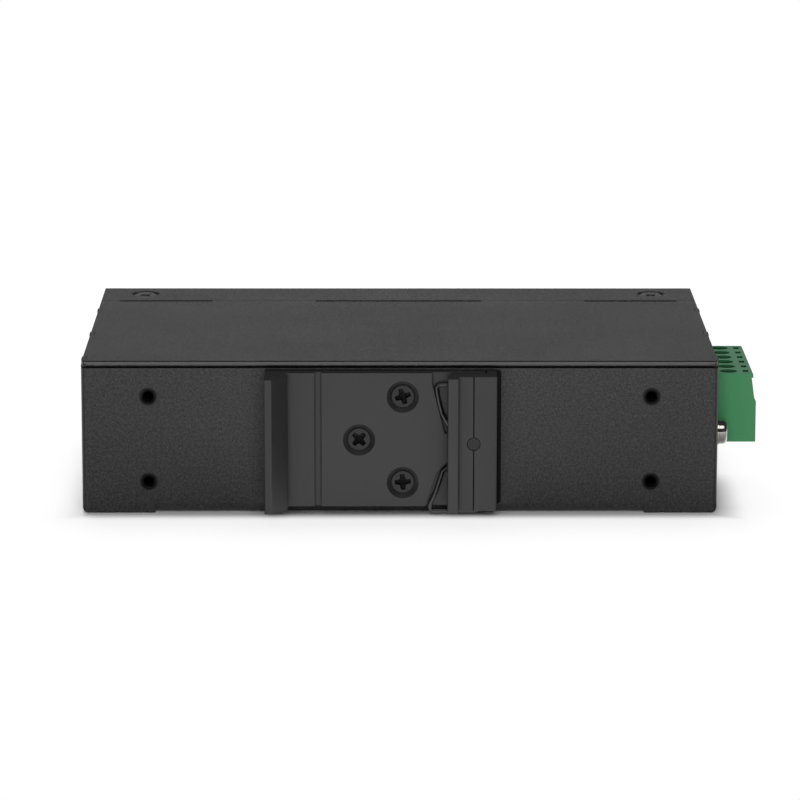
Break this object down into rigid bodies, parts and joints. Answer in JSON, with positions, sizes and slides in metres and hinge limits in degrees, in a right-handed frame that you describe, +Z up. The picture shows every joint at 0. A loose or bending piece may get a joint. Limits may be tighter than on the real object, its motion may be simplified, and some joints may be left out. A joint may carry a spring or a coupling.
{
  "type": "media converter",
  "caption": "Rail-mount industrial media converter in a slim folded metal case, with a sprung rail clip, plug-in screw terminals, an earth screw, a network socket and a fibre module slot.",
  "frame": {"origin": "middle of the overall box, on the floor that the lower broad side lies on", "axes": "+X along the case to the terminal end, +Y from the rail clip to the front panel, +Z up through the broad sides"},
  "size_m": [0.1438, 0.098, 0.0328],
  "materials": {
    "case_paint": "fine powder coat",
    "clip_coat": "dark satin anodised",
    "black_screw": "black oxide",
    "spring_steel": "drawn wire",
    "nickel": "bright nickel plate",
    "zinc_steel": "zinc plate",
    "terminal_green": "satin moulded",
    "black_plastic": "satin moulded",
    "board_laminate": "solder mask",
    "gold_contact": "gold flash",
    "shield_steel": "tinned sheet",
    "lamp_lens": "clear tinted",
    "can_metal": "sleeved"
  },
  "bodies": {
    "casing": {"base_tray": "case_paint", "top_cover": "case_paint", "front_bezel": "case_paint", "bezel_screws": "black_screw", "bezel_nuts": "zinc_steel", "wall_mount_nuts": "black_screw", "clip_base": "clip_coat", "clip_spring": "spring_steel", "clip_screws": "black_screw", "clip_nuts": "zinc_steel", "ground_screw": "nickel", "ground_washer": "nickel", "ground_nut": "zinc_steel", "terminal_plug": "terminal_green", "terminal_screws": "nickel", "terminal_clamps": "nickel", "terminal_header": "terminal_green", "header_pins": "gold_contact", "main_board": "board_laminate", "board_standoffs": "zinc_steel", "board_screws": "zinc_steel", "rj45_shield": "shield_steel", "rj45_insert": "black_plastic", "rj45_contacts": "gold_contact", "sfp_cage": "shield_steel", "sfp_connector": "black_plastic", "indicator_leds": "lamp_lens", "led_holder": "black_plastic", "converter_chip": "black_plastic", "line_transformer": "black_plastic", "alarm_relay": "black_plastic", "power_inductors": "black_plastic", "filter_capacitors": "can_metal"},
    "jaw": {"clip_jaw": "clip_coat", "clip_pin": "black_screw"}
  },
  "joints": [
    {"name": "jaw_slide", "type": "slide", "parent": "casing", "child": "jaw", "axis": [1, 0, 0], "range_m": [0, 0.003], "stiffness_N_per_m": 4500, "springref_m": -0.001, "deforming": ["clip_spring"]}
  ]
}
